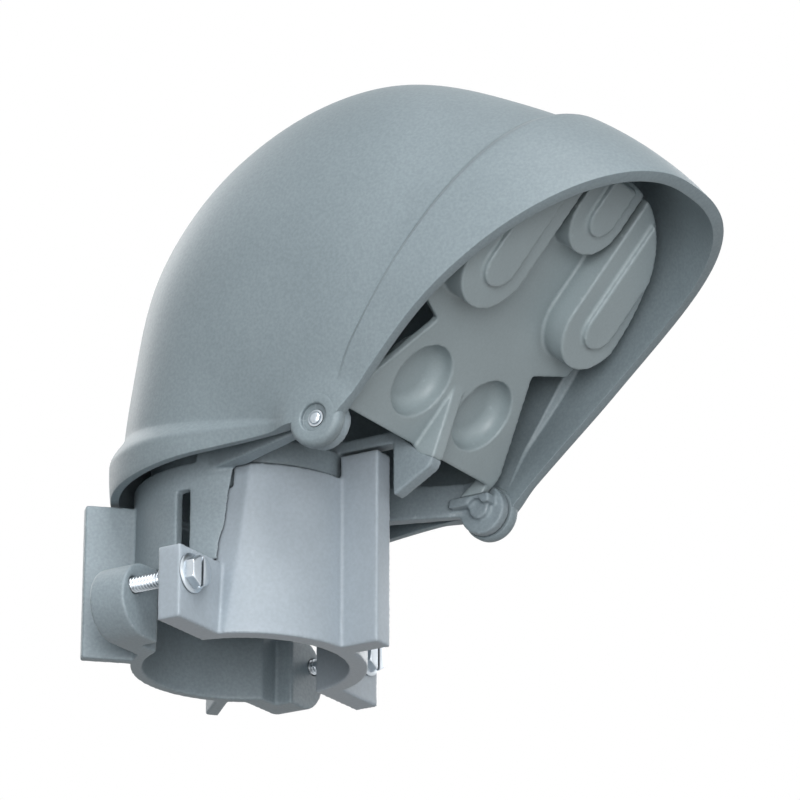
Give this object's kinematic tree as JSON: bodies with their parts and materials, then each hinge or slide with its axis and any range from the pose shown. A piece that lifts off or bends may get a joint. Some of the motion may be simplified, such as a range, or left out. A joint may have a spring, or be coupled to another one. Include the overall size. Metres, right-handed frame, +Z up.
{
  "type": "service entrance weatherhead",
  "caption": "Clamp-on weatherhead for the top of a service conduit: hinged dome hood over an inclined wire insert, with a two-part collar clamped by side screws.",
  "frame": {"origin": "conduit axis at the lower edge of the clamp collar", "axes": "+Z up along the conduit axis, -Y out through the mouth of the hood, +X to the right seen looking into the mouth from outside"},
  "size_m": [0.1082, 0.1907, 0.168],
  "materials": {
    "hood_alloy": "matte grey die-cast, fine grain",
    "base_alloy": "matte grey die-cast, fine grain",
    "saddle_alloy": "satin pale grey die-cast",
    "insert_plastic": "moulded grey, low sheen",
    "zinc_steel": "bright zinc plate",
    "pin_steel": "bright zinc plate"
  },
  "bodies": {
    "base": {"base": "base_alloy", "wire_insert": "insert_plastic", "hinge_pin_left": "pin_steel", "hinge_pin_right": "pin_steel"},
    "hood": {"hood": "hood_alloy"},
    "saddle": {"clamp_saddle": "saddle_alloy"},
    "screw_left": {"clamp_screw_left": "zinc_steel"},
    "screw_right": {"clamp_screw_right": "zinc_steel"}
  },
  "joints": [
    {"name": "hood_hinge", "type": "hinge", "parent": "base", "child": "hood", "pos_m": [0, -0.056, 0.0524], "axis": [1, 0, 0], "range_deg": [0, 45]},
    {"name": "saddle_slide", "type": "slide", "parent": "base", "child": "saddle", "axis": [0, -1, 0], "range_m": [0, 0.004]},
    {"name": "screw_left_spin", "type": "hinge", "parent": "saddle", "child": "screw_left", "pos_m": [-0.0473, -0.0127, 0.0143], "axis": [0, -1, 0], "range_deg": [0, 1368]},
    {"name": "screw_right_spin", "type": "hinge", "parent": "saddle", "child": "screw_right", "pos_m": [0.0473, -0.0127, 0.0143], "axis": [0, -1, 0], "range_deg": [0, 1368]}
  ],
  "couplings": [
    {"joint": "screw_left_spin", "follows": "saddle_slide", "rad_per_m": 5936.9},
    {"joint": "screw_right_spin", "follows": "saddle_slide", "rad_per_m": 5936.9}
  ]
}
